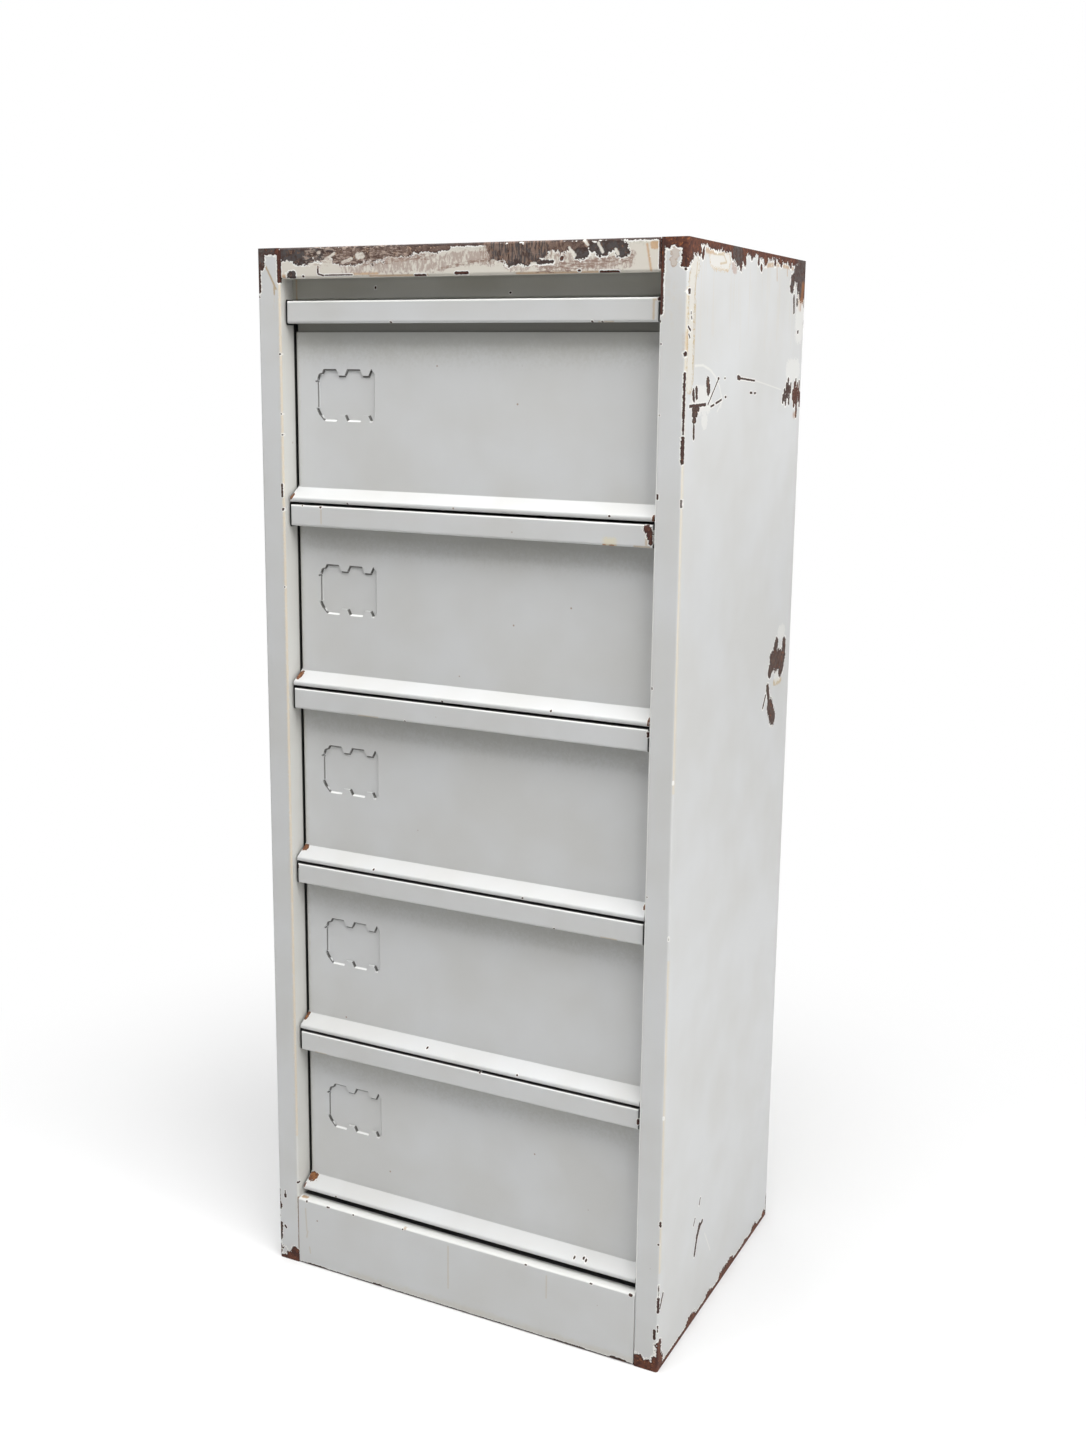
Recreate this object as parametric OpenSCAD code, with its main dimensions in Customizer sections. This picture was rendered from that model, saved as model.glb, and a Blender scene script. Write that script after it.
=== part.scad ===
// Small steel drawer cabinet: five drawers with folded full-width pulls between two folded posts.
// Every piece is pressed from flat sheet. Millimetres, +X right, +Y to the back, +Z up;
// the origin is the middle of the footprint, on the floor.

/* [Carcass] */
// Width over the two side panels
cab_w = 420; // [340:1:600]
// Depth from the post faces to the rear flanges
cab_d = 314; // [270:1:460]
// Thickness of the carcass sheet
sheet_t = 1.2; // [0.8:0.1:1.5]
// Inside radius of every fold
fold_r = 1; // [0.6:0.1:1.2]
// Rear flange of each side panel
rear_flange = 20; // [14:1:40]
// Flange along the top and bottom of each side panel
side_flange = 14; // [10:1:30]
// Flange along the bottom of the back panel
back_foot = 20; // [10:1:40]
// Gap between the back panel's edges and the side panels
back_edge_gap = 2.8; // [2.2:0.1:8]

/* [Front posts] */
// Face width of a post
post_w = 24; // [18:0.5:36]
// Depth of the fold that lines the opening
post_return = 24; // [22:1:44]

/* [Top rail and header] */
// Height of the top rail
rail_h = 27; // [16:0.5:50]
// Return along the rail's lower edge
rail_return = 10; // [4:0.5:18]
// Height of the open strip between the rail and the top drawer
head_space = 19.4; // [12:0.1:60]
// Gap between the header and the top drawer
header_gap = 0.8; // [0.6:0.1:6]
// Flanges of the header, running backwards
header_flange = 15; // [8:1:40]

/* [Plinth and base] */
// Height of the plinth
plinth_h = 72; // [40:1:140]
// Flanges of the plinth, running backwards
plinth_flange = 30; // [22:1:60]
// Gap between the plinth and the lowest drawer
plinth_gap = 7.2; // [2:0.1:15]
// Skirt of the base panel, folded down beside each side panel
base_skirt = 12; // [6:1:30]

/* [Drawer stack] */
// Number of drawers
drawer_count = 5; // [3:1:6]
// Height of a drawer front
front_h = 173; // [150:0.5:260]
// Extra height of the top drawer's front
top_front_extra = 9.6; // [0:0.1:60]
// Gap between one front and the next
row_gap = 2.2; // [1.5:0.1:5]
// Gap between a front and each post
front_side_gap = 2.6; // [1:0.1:5]

/* [Drawer front] */
// Thickness of the front's sheet
front_t = 1.2; // [0.8:0.1:1.4]
// Setback of the panel behind the post faces
panel_recess = 20; // [17:0.1:30]
// Setback of the pull and the ledge behind the post faces
pull_recess = 6; // [0:0.1:8]
// Height of the pull
pull_h = 20; // [14:0.1:30]
// Return along the pull's lower edge
pull_return = 3.2; // [2.8:0.1:5]
// Fall of the sloping ledge from the panel to its lip
ledge_fall = 9; // [3:0.1:15]
// Height of the ledge's lip
ledge_lip = 4; // [4:0.1:10]
// Return under the ledge, running backwards
ledge_return = 30; // [18:0.5:32]
// Side flanges of the panel
front_flange = 13; // [8:0.5:20]
// Height over which the pull hides the top of the panel
panel_cover = 18; // [12:0.1:19]
// Overlap of the pull's rear leg behind the panel
leg_overlap = 8.4; // [4:0.1:20]
// Inset of that leg from each end of the pull
leg_inset = 2; // [1.6:0.1:6]
// Gap between the pull's closed ends and the panel
pull_end_gap = 0.3; // [0.1:0.1:1]

/* [Pressed label holder] */
// Width of the pressing
label_w = 62; // [40:0.5:90]
// Height of the pressing
label_h = 47.4; // [30:0.1:60]
// Depth of the pressing
label_depth = 1.8; // [0.5:0.1:2.4]
// Run of the sloping walls along its straight edges
label_slope = 1.5; // [0.3:0.1:2.5]
// Distance of its centre from the front's left edge
label_x = 54.4; // [48:0.1:120]
// Distance of its centre below the top of the front
label_drop = 79.5; // [60:0.1:90]
// Extra distance below the top of the taller top front
top_label_drop = 4.6; // [0:0.1:20]
// Length of the four card tabs
tab_len = 5.8; // [2:0.1:8]
// Width of a tab at its tip
tab_tip = 7; // [3:0.1:9]
// Width of a tab at its root
tab_root = 12.2; // [9:0.1:14]
// Distance of the first pair of tabs from the left end
tab_start = 26.6; // [20:0.1:30]
// Distance from the first pair of tabs to the second
tab_pitch = 25.8; // [18:0.1:26]
// Cut of the two left corners
corner_cut = 7.6; // [3:0.1:12]
// Small nick at the foot of each cut corner
corner_nick = 2; // [0.3:0.1:3]

/* [Drawer tray] */
// Thickness of the tray's sheet
tray_t = 1; // [0.7:0.1:1.4]
// Height of the tray's floor above the lip of the ledge
tray_lift = 6; // [3:0.5:16]
// Drop of the tray's rim below the top of the front
tray_drop = 14; // [6:0.5:40]
// Outward rim of the tray's sides
tray_rim = 5; // [3:0.5:7]
// Gap between the tray and the back panel
tray_rear_gap = 26.6; // [16:0.1:80]
// Rim along the top of the tray's back
back_rim = 8; // [4:0.5:14]
// Foot of the tray's back, lying on the floor
tray_foot = 10; // [5:0.5:20]
// Gap between the liner's top and the top of the front
liner_drop = 5; // [3:0.5:20]

/* [Runners and glides] */
// Thickness of the runner's and the glide's sheet
runner_t = 1.2; // [0.8:0.1:1.5]
// Height of the runner channel
runner_h = 16; // [13:0.5:24]
// Width of the runner channel
runner_w = 14; // [10:0.5:20]
// Height of the runner above the tray's floor
runner_lift = 20; // [4:0.5:60]
// Running gap between the tray and the runner
tray_side_gap = 2.8; // [2:0.1:6]
// Running gap under and beyond the glide
run_gap = 0.3; // [0.2:0.05:0.6]
// Gap between the glide's edge and the runner's web
glide_edge_gap = 0.8; // [0.3:0.1:2]
// Height of the glide's leg on the tray
glide_leg = 18; // [8:0.5:26]
// Length of tray that stays in the cabinet when a drawer is fully out
tray_keep = 20; // [12:1:100]
// Length of the stop lug at the glide's rear end
lug_l = 4; // [2:0.5:8]
// Thickness of the runner's stop tabs
stop_t = 2; // [1:0.1:3]
// Free play at each stop
stop_gap = 1; // [0.5:0.1:3]

/* [Uprights] */
// Width of an upright's web
upright_w = 24; // [16:1:40]
// Feet of an upright, lying on the side panel
upright_foot = 10; // [5:1:20]
// Setback of the front uprights behind the posts and the drawer liners
upright_gap = 4; // [2:0.5:12]
// Setback of the rear uprights from the runner's rear end
upright_rear = 4; // [0:0.5:20]

/* [Hidden] */
$fn = 48;
bend_steps = 5;
paint = [0.80, 0.81, 0.80];
steel = [0.62, 0.63, 0.64];
cut = 1;

// Faces of the carcass
fold_out = fold_r + sheet_t;
x_out = cab_w / 2;
x_in = x_out - sheet_t;
x_post = x_out - post_w;
y_front = -cab_d / 2;
y_back = cab_d / 2;
y_back_panel = y_back - 2 * sheet_t;

// Drawer stack, counted from the top drawer (1) down
function rows_below(i) = drawer_count - i;
function front_z0(i) = plinth_h + plinth_gap + rows_below(i) * (front_h + row_gap);
function front_z1(i) = front_z0(i) + front_h + (i == 1 ? top_front_extra : 0);
cab_h = front_z1(1) + head_space + rail_h;

// Faces of a drawer front
front_out = fold_r + front_t;
x_front = x_post - front_side_gap;
y_pull = y_front + pull_recess;
y_panel = y_front + panel_recess;
y_liner = y_panel + front_t + front_flange;
ledge_slope = atan2(ledge_fall, panel_recess - pull_recess);
function ledge_mid(z) = z + front_t / 2 * (tan(ledge_slope) - 1 / cos(ledge_slope));
function panel_z1(i) = front_z0(i) + front_h - panel_cover;

// Tray, runner and glide
x_runner = x_post - runner_w;
x_tray = x_runner - tray_side_gap;
x_glide = x_post - runner_t - glide_edge_gap;
y_tray = y_back_panel - tray_rear_gap;
tray_len = y_tray - y_liner;
y_upright = max(y_front + post_return, y_liner) + upright_gap;
y_runner = y_tray - upright_gap;
y_glide = y_runner - stop_t - stop_gap;
travel = tray_len - tray_keep;
function floor_z(i) = front_z0(i) + tray_lift;
function rim_z(i) = front_z1(i) - tray_drop;
function runner_z(i) = floor_z(i) + runner_lift;
function glide_z(i) = runner_z(i) + runner_t + run_gap;

DRAWERS = [for (i = [1 : drawer_count]) i];
FRAME_NODES = ["side_left", "side_right", "top_panel", "header_rail", "plinth", "base_panel",
    "back_panel", "upright_front_left", "upright_front_right", "upright_rear_left",
    "upright_rear_right"];
DRAWER_NODES = ["front", "pull", "liner", "tray", "tray_back", "glide_left", "glide_right"];
RUNNER_NODES = ["runner_left", "runner_right"];

// --- Folded sheet -------------------------------------------------------------------------

function unit(v) = v / norm(v);
function left_of(v) = [-v[1], v[0]];
function turned(v, a) = [v[0] * cos(a) - v[1] * sin(a), v[0] * sin(a) + v[1] * cos(a)];
function turn(a, b) = atan2(a[0] * b[1] - a[1] * b[0], a * b);

// One face of a folded sheet: side is 1 for the face on the left of its mid-line, -1 for the right
function sheet_face(line, t, side) = let (last = len(line) - 1) [
    for (i = [0 : last])
        let (
            before = unit(line[max(i, 1)] - line[max(i, 1) - 1]),
            after = unit(line[min(i, last - 1) + 1] - line[min(i, last - 1)]),
            a = turn(before, after),
            mid_r = fold_r + t / 2,
            bend_start = line[i] - before * mid_r * tan(abs(a) / 2),
            centre = bend_start + sign(a) * mid_r * left_of(before),
            r = mid_r - side * sign(a) * t / 2,
            steps = i == 0 || i == last ? 0 : bend_steps
        )
        for (k = [0 : steps])
            steps == 0 ? line[i] + side * t / 2 * left_of(before)
                : centre - sign(a) * r * turned(left_of(before), a * k / steps)
];

// Section of a sheet of thickness t folded along its mid-line
module folded(line, t) {
    back = sheet_face(line, t, -1);
    polygon(concat(sheet_face(line, t, 1), [for (k = [len(back) - 1 : -1 : 0]) back[k]]));
}

// A section drawn in Y and Z, run from x0 to x1
module along_x(x0, x1) translate([x0, 0, 0]) rotate([90, 0, 90]) linear_extrude(x1 - x0) children();

// A section drawn in X and Z, run from y0 to y1
module along_y(y0, y1) translate([0, y1, 0]) rotate([90, 0, 0]) linear_extrude(y1 - y0) children();

// A section drawn in X and Y, run from z0 to z1
module along_z(z0, z1) translate([0, 0, z0]) linear_extrude(z1 - z0) children();

// A box between two corners
module block(a, b) translate(a) cube(b - a);

// Both hands of a piece drawn on the right
module both_sides() {
    children();
    mirror([1, 0, 0]) children();
}

module on_left() mirror([1, 0, 0]) children();

// --- Carcass ------------------------------------------------------------------------------

// Side panel: wall, post face and post return are one sheet, with a flange behind, above and below
module side_panel() color(paint) difference() {
    union() {
        along_z(0, cab_h) folded([
            [x_out - rear_flange, y_back - sheet_t / 2],
            [x_out - sheet_t / 2, y_back - sheet_t / 2],
            [x_out - sheet_t / 2, y_front + sheet_t / 2],
            [x_post + sheet_t / 2, y_front + sheet_t / 2],
            [x_post + sheet_t / 2, y_front + post_return]
        ], sheet_t);
        for (z = [0, cab_h - 2 * sheet_t])
            block([x_out - side_flange, y_front + post_return + cut, z],
                [x_out - sheet_t / 2, y_back_panel - sheet_t, z + sheet_t]);
    }
    block([x_post - cut, y_front + sheet_t, cab_h - sheet_t], [x_in, y_back + cut, cab_h + cut]);
}

// Top panel with the rail folded down between the posts
module top_panel() color(paint) {
    along_x(-x_post, x_post) folded([
        [y_front + rail_return, cab_h - rail_h + sheet_t / 2],
        [y_front + sheet_t / 2, cab_h - rail_h + sheet_t / 2],
        [y_front + sheet_t / 2, cab_h - sheet_t / 2],
        [y_back, cab_h - sheet_t / 2]
    ], sheet_t);
    both_sides() block([x_post - cut, y_front + fold_out, cab_h - sheet_t], [x_in, y_back, cab_h]);
    both_sides() block([x_post, y_front + sheet_t, cab_h - sheet_t], [x_in, y_front + fold_out + cut, cab_h]);
}

// Header behind the rail, in the plane of the drawer panels
module header_rail() color(paint) along_x(-x_post, x_post) folded([
    [y_panel + header_flange, front_z1(1) + header_gap + sheet_t / 2],
    [y_panel + sheet_t / 2, front_z1(1) + header_gap + sheet_t / 2],
    [y_panel + sheet_t / 2, cab_h - sheet_t * 3 / 2],
    [y_panel + header_flange, cab_h - sheet_t * 3 / 2]
], sheet_t);

// Plinth, flush with the posts
module plinth() color(paint) along_x(-x_post, x_post) folded([
    [y_front + plinth_flange, sheet_t / 2],
    [y_front + sheet_t / 2, sheet_t / 2],
    [y_front + sheet_t / 2, plinth_h - sheet_t / 2],
    [y_front + plinth_flange, plinth_h - sheet_t / 2]
], sheet_t);

// Base panel, lying on the plinth's upper flange, with a skirt on each side panel
module base_panel() color(paint) {
    along_y(y_front + post_return + cut, y_back_panel) folded([
        [-x_in + sheet_t / 2, plinth_h - base_skirt],
        [-x_in + sheet_t / 2, plinth_h + sheet_t / 2],
        [x_in - sheet_t / 2, plinth_h + sheet_t / 2],
        [x_in - sheet_t / 2, plinth_h - base_skirt]
    ], sheet_t);
    block([-x_post, y_panel, plinth_h], [x_post, y_front + post_return + 2 * cut, plinth_h + sheet_t]);
}

// Back panel, inside the rear flanges, with a foot on the floor
module back_panel() color(paint) {
    block([-x_in + back_edge_gap, y_back_panel, sheet_t], [x_in - back_edge_gap, y_back_panel + sheet_t,
        cab_h - sheet_t]);
    along_x(-x_out + side_flange + cut, x_out - side_flange - cut) folded([
        [y_back_panel - back_foot, sheet_t / 2],
        [y_back_panel + sheet_t / 2, sheet_t / 2],
        [y_back_panel + sheet_t / 2, 2 * fold_out]
    ], sheet_t);
}

// Upright: a hat section that spaces the runners off the side panel
module upright(y0) color(steel) along_z(plinth_h + sheet_t, cab_h - 2 * sheet_t) folded([
    [x_in - sheet_t / 2, y0 - upright_foot],
    [x_in - sheet_t / 2, y0 + sheet_t / 2],
    [x_post + sheet_t / 2, y0 + sheet_t / 2],
    [x_post + sheet_t / 2, y0 + upright_w - sheet_t / 2],
    [x_in - sheet_t / 2, y0 + upright_w - sheet_t / 2],
    [x_in - sheet_t / 2, y0 + upright_w + upright_foot]
], sheet_t);

module upright_front() upright(y_upright);
module upright_back() upright(y_runner - upright_rear - upright_w);

// Runner: a channel open to the drawer, with a stop tab near its front and one at its rear end
module runner(i) color(steel) {
    z = runner_z(i);
    lug_y = y_glide - lug_l;
    along_y(y_upright, y_runner) folded([
        [x_runner, z + runner_t / 2],
        [x_post - runner_t / 2, z + runner_t / 2],
        [x_post - runner_t / 2, z + runner_h - runner_t / 2],
        [x_runner, z + runner_h - runner_t / 2]
    ], runner_t);
    block([x_runner + cut, lug_y - travel - stop_gap - stop_t, z + runner_h / 2],
        [x_post - runner_t / 2, lug_y - travel - stop_gap, z + runner_h - runner_t / 2]);
    block([x_runner + cut, y_runner - stop_t, z + runner_t / 2],
        [x_post - runner_t / 2, y_runner, z + runner_h / 2]);
}

// --- Drawer -------------------------------------------------------------------------------

// Mid-line of a drawer front, from the panel's upper edge to the return under the ledge
function front_line(i) = let (z0 = front_z0(i), m = front_t / 2) [
    [y_panel + m, panel_z1(i)],
    [y_panel + m, ledge_mid(z0 + ledge_lip + ledge_fall)],
    [y_pull + m, ledge_mid(z0 + ledge_lip)],
    [y_pull + m, z0 + m],
    [y_pull + ledge_return, z0 + m]
];

// Mid-line of a pull, from its lower return over the face to the top flange
function pull_line(i) = let (z1 = front_z1(i), m = front_t / 2) [
    [y_pull + pull_return, z1 - pull_h + m],
    [y_pull + m, z1 - pull_h + m],
    [y_pull + m, z1 - m],
    [y_panel, z1 - m]
];

// Plate that closes one end of the pull, inside the pull's own folds
module pull_end_shape(i) {
    outer = sheet_face(pull_line(i), front_t, 1);
    y_end = y_panel - pull_end_gap;
    polygon(concat([for (k = [0 : 2 * (bend_steps + 1)]) outer[k]],
        [[y_end, front_z1(i)], [y_end, front_z1(i) - pull_h]]));
}

// Cutter that rounds the upright edge at (x_front, y) as a fold would
module edge_round(y, z0, z1) translate([x_front - front_out, y, 0]) along_z(z0, z1) polygon(concat(
    [[0, -cut], [front_out + cut, -cut], [front_out + cut, front_out]],
    [for (k = [0 : bend_steps]) turned([front_out, 0], -90 * k / bend_steps) + [0, front_out]]));

// Outline of the label pressing about its centre: cut corners on the left, two tabs above and below
function tab_points(x) = [[x - tab_root / 2, label_h / 2], [x - tab_tip / 2, label_h / 2 - tab_len],
    [x + tab_tip / 2, label_h / 2 - tab_len], [x + tab_root / 2, label_h / 2]];
function label_edge() = let (w = label_w / 2, h = label_h / 2, c = corner_cut, x = tab_start - w) concat(
    [[-w, h - c * 1.6], [-w - corner_nick, h - c * 1.5], [-w + c * 0.1, h - c], [-w + c / 3, h - c * 0.7],
        [-w + c * 0.65, h - c * 0.7], [-w + c, h]],
    tab_points(x), tab_points(x + tab_pitch),
    [[w, h - c / 2]]);
module label_shape() {
    upper = label_edge();
    polygon(concat(upper, [for (k = [len(upper) - 1 : -1 : 0]) [upper[k][0], -upper[k][1]]]));
}

// Section of a wall that slopes in from 0 at the panel's surface
module label_wall() let (deep = label_depth + cut)
    polygon([[cut, 0], [0, 0], [-label_slope * deep / label_depth, deep], [cut, deep]]);

// Cutter of the label pressing, from the panel's surface at y = 0, with its straight walls sloping
module label_recess() {
    w = label_w / 2;
    h = label_h / 2;
    long = label_w + 4 * corner_nick;
    difference() {
        along_y(-cut, label_depth) label_shape();
        for (s = [0, 1]) mirror([0, 0, s]) translate([0, 0, h]) rotate([0, 90, 0])
            linear_extrude(long, center = true) mirror([1, 0, 0]) label_wall();
        translate([w, 0, 0]) linear_extrude(label_h, center = true) label_wall();
        translate([-w, 0, 0]) linear_extrude(label_h - 3.2 * corner_cut, center = true)
            mirror([1, 0, 0]) label_wall();
    }
}

module at_label(i) translate([-x_front + label_x, 0, front_z1(i) - label_drop
    - (i == 1 ? top_label_drop : 0)]) children();

// Drawer front: panel and drip ledge from one sheet, with the label holder pressed into it
module drawer_front(i) color(paint) {
    panel_z0 = front_z0(i) + ledge_lip + ledge_fall + cut;
    difference() {
        union() {
            along_x(-x_front, x_front) folded(front_line(i), front_t);
            both_sides() block([x_front - front_t, y_panel + front_t / 2, panel_z0],
                [x_front, y_panel + front_t + front_flange, panel_z1(i)]);
            at_label(i) along_y(y_panel + front_t / 2, y_panel + front_t + label_depth)
                square([label_w + 2 * (front_t + corner_nick), label_h + 2 * front_t], center = true);
        }
        both_sides() edge_round(y_panel, panel_z0, panel_z1(i) + cut);
        at_label(i) translate([0, y_panel, 0]) label_recess();
    }
}

// Pull: face and top with closed ends, and a narrower rear leg that hangs behind the panel
module drawer_pull(i) color(paint) {
    z1 = front_z1(i);
    leg_x = x_front - leg_inset;
    y_leg = y_panel + front_t * 3 / 2;
    difference() {
        union() {
            along_x(-x_front, x_front) folded(pull_line(i), front_t);
            both_sides() along_x(x_front - front_t, x_front) pull_end_shape(i);
            along_x(-leg_x, leg_x) folded([
                [y_pull + 2 * front_out, z1 - front_t / 2],
                [y_leg, z1 - front_t / 2],
                [y_leg, panel_z1(i) - leg_overlap]
            ], front_t);
        }
        both_sides() edge_round(y_pull, z1 - pull_h - cut, z1 + cut);
    }
}

// Liner: a channel behind the panel that makes the front double-walled and closes the tray
module drawer_liner(i) color(paint) along_x(-x_front + front_t, x_front - front_t) folded([
    [y_panel + front_t, front_z0(i) + front_t + tray_t / 2],
    [y_liner - tray_t / 2, front_z0(i) + front_t + tray_t / 2],
    [y_liner - tray_t / 2, front_z1(i) - liner_drop - tray_t / 2],
    [y_panel + 2 * front_t, front_z1(i) - liner_drop - tray_t / 2]
], tray_t);

// Tray: floor and sides from one sheet, with an outward rim
module drawer_tray(i) color(paint) along_y(y_liner, y_tray) folded([
    [-x_tray - tray_rim, rim_z(i) - tray_t / 2],
    [-x_tray + tray_t / 2, rim_z(i) - tray_t / 2],
    [-x_tray + tray_t / 2, floor_z(i) + tray_t / 2],
    [x_tray - tray_t / 2, floor_z(i) + tray_t / 2],
    [x_tray - tray_t / 2, rim_z(i) - tray_t / 2],
    [x_tray + tray_rim, rim_z(i) - tray_t / 2]
], tray_t);

// Back of the tray, with its foot on the floor
module tray_back(i) color(paint) along_x(-x_tray + tray_t, x_tray - tray_t) folded([
    [y_tray - tray_foot, floor_z(i) + tray_t * 3 / 2],
    [y_tray - tray_t / 2, floor_z(i) + tray_t * 3 / 2],
    [y_tray - tray_t / 2, rim_z(i) - tray_t / 2],
    [y_tray + back_rim, rim_z(i) - tray_t / 2]
], tray_t);

// Glide: an angle on the tray's side whose foot runs in the channel, with a stop lug at its rear
module glide(i) color(steel) {
    z = glide_z(i);
    along_y(y_liner, y_glide) folded([
        [x_tray + runner_t / 2, z + glide_leg],
        [x_tray + runner_t / 2, z + runner_t / 2],
        [x_glide, z + runner_t / 2]
    ], runner_t);
    block([x_runner + cut, y_glide - lug_l, z + runner_t / 2],
        [x_glide, y_glide, runner_z(i) + runner_h * 2 / 3]);
}

on_left() side_panel();  // side_left
side_panel();  // side_right
top_panel();
header_rail();
plinth();
base_panel();
back_panel();
on_left() upright_front();  // upright_front_left
upright_front();  // upright_front_right
on_left() upright_back();  // upright_rear_left
upright_back();  // upright_rear_right
for (i = DRAWERS) on_left() runner(i);
for (i = DRAWERS) runner(i);
for (i = DRAWERS) drawer_front(i);
for (i = DRAWERS) drawer_pull(i);
for (i = DRAWERS) drawer_liner(i);
for (i = DRAWERS) drawer_tray(i);
for (i = DRAWERS) tray_back(i);
for (i = DRAWERS) on_left() glide(i);
for (i = DRAWERS) glide(i);
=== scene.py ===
import math
import random

import bpy
from mathutils import Euler, Matrix, Vector

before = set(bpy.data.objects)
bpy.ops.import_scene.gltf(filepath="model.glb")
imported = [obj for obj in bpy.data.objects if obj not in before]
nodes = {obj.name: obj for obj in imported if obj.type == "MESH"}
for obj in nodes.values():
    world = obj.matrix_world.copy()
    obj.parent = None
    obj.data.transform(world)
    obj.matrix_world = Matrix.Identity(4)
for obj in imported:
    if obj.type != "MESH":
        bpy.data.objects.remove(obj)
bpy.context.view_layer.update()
bpy.ops.object.select_all(action="DESELECT")

# --- Sides and posts ------------------------------------------------------------------------
# Each side is one sheet of 1.2 mm mild steel, folded round at the front into a 24 mm post and at
# the back into a flange. It was degreased, dipped in cream primer and stoved with light grey
# enamel. Where it was knocked the enamel flaked to the primer, and the steel rusted in the chip.

MM = 0.001
# Places on the cabinet are in millimetres: x to its right, y to its back, z up from the floor.
# POST_Y is the face of the posts, and DRAWER_TOPS has the top of each drawer's pull.
POST_Y = -157
SIDE_X = 210
POST_INNER_X = 186
TOP_Z = 1009
DRAWER_TOPS = {1: 962.6, 2: 777.8, 3: 602.6, 4: 427.4, 5: 252.2}

ENAMEL = "#CFD0D0"
PRIMER = "#EBEAE5"
SPECK = "#8A6B52"
COAT_THICKNESS = 0.2
PEEL_HEIGHT = 0.012
SPECK_SPACING = 26
HALF_GLOSS = (0.38, 0.46)
# Noise scales, in waves a millimetre.
BROAD_BREAKS = 0.11
FINE_BREAKS = 0.42
TONE_DRIFT = 0.013

STEEL_ROUGHNESS = 0.85
PITTING = 0.12
# Bare steel: its plain tone, its darker blots and border, and fresh rust in specks.
RED_RUST = ("#5C3322", "#3B1C14", "#925731")
BROWN_STEEL = ("#493A33", "#341B14", "#7C4A2C")
GREY_STEEL = ("#4C4441", "#3A2119", "#714A37")


def linear(code):
    """An sRGB hex colour as the linear RGBA that a shader takes."""
    parts = [int(code[i:i + 2], 16) / 255 for i in (1, 3, 5)]
    return [p / 12.92 if p <= 0.04045 else ((p + 0.055) / 1.055) ** 2.4 for p in parts] + [1]


def add(tree, kind, inputs, **settings):
    """Adds a shader node, sets it, and links or fills its inputs."""
    made = tree.nodes.new("ShaderNode" + kind)
    for name, value in settings.items():
        setattr(made, name, value)
    for name, value in inputs.items():
        if isinstance(value, bpy.types.NodeSocket):
            tree.links.new(value, made.inputs[name])
        else:
            made.inputs[name].default_value = value
    return made


def on_side(y, z, width, height, lean=0, x=SIDE_X):
    """A worn patch on a side panel: its centre, its half sizes and its turn, in millimetres."""
    low = min(width, height) / 2
    return (x, y, z), (max(low, 4), width / 2, height / 2), (math.radians(lean), 0, 0)


def on_front(x, z, width, height, lean=0, y=POST_Y):
    """The same on a face that looks forwards."""
    low = min(width, height) / 2
    return (x, y, z), (width / 2, max(low, 4), height / 2), (0, math.radians(-lean), 0)


def along_front(x0, z0, x1, z1, thick, y=POST_Y):
    """A stroke on a face that looks forwards, from one point to another."""
    length = math.hypot(x1 - x0, z1 - z0)
    lean = math.degrees(math.atan2(z1 - z0, x1 - x0))
    return on_front((x0 + x1) / 2, (z0 + z1) / 2, length + thick * 0.6, thick, lean, y)


def on_edge(x, z, width, height, y=POST_Y):
    """A knock on an upright edge, as wide on both faces."""
    return (x, y, z), (width / 2, width / 2, height / 2), (0, 0, 0)


def along_side(y0, z0, y1, z1, thick, x=SIDE_X):
    """A stroke on a side panel, from one point to another."""
    length = math.hypot(y1 - y0, z1 - z0)
    lean = math.degrees(math.atan2(z1 - z0, y1 - y0))
    return on_side((y0 + y1) / 2, (z0 + z1) / 2, length + thick * 0.6, thick, lean, x)


def start_enamel(name):
    """A material under way: its tree, the place in millimetres, noises, and the look so far."""
    material = bpy.data.materials.new(name)
    material.use_nodes = True
    tree = material.node_tree
    tree.nodes.clear()
    place = add(tree, "TexCoord", {})
    # The same place twice: patterns read the first, and patches, which only do sums, the second.
    point = add(tree, "Mapping", {"Vector": place.outputs["Object"], "Scale": [1 / MM] * 3}).outputs[0]
    spot = add(tree, "VectorMath", {0: place.outputs["Object"], "Scale": 1 / MM},
               operation="SCALE").outputs[0]
    # Outlines break up over 9 mm and over 2.4 mm. Both noises are kept about -1 for nearest().
    broad = add(tree, "TexNoise", {"Vector": point, "Scale": BROAD_BREAKS, "Detail": 2.0}).outputs["Fac"]
    small = add(tree, "TexNoise", {"Vector": point, "Scale": FINE_BREAKS, "Detail": 3.0,
                                   "Roughness": 0.6}).outputs["Fac"]
    flat = add(tree, "Math", {0: small, 1: 1.5, 2: -1.75}, operation="MULTIPLY_ADD").outputs[0]
    ragged = add(tree, "Math", {0: broad, 1: 1.7, 2: -0.85}, operation="MULTIPLY_ADD").outputs[0]
    ragged = add(tree, "Math", {0: ragged, 1: flat}, operation="ADD").outputs[0]
    # Stoved enamel varies a little in tone over a hand's breadth.
    cloud = add(tree, "TexNoise", {"Vector": point, "Scale": TONE_DRIFT, "Detail": 2.0}).outputs["Fac"]
    cloud = add(tree, "MapRange", {"Value": cloud, "From Min": 0.35, "From Max": 0.65}).outputs[0]
    return {"material": material, "tree": tree, "point": point, "spot": spot, "ragged": ragged,
            "fine": flat, "cloud": cloud, "small": small, "bare": 0.0}


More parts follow.
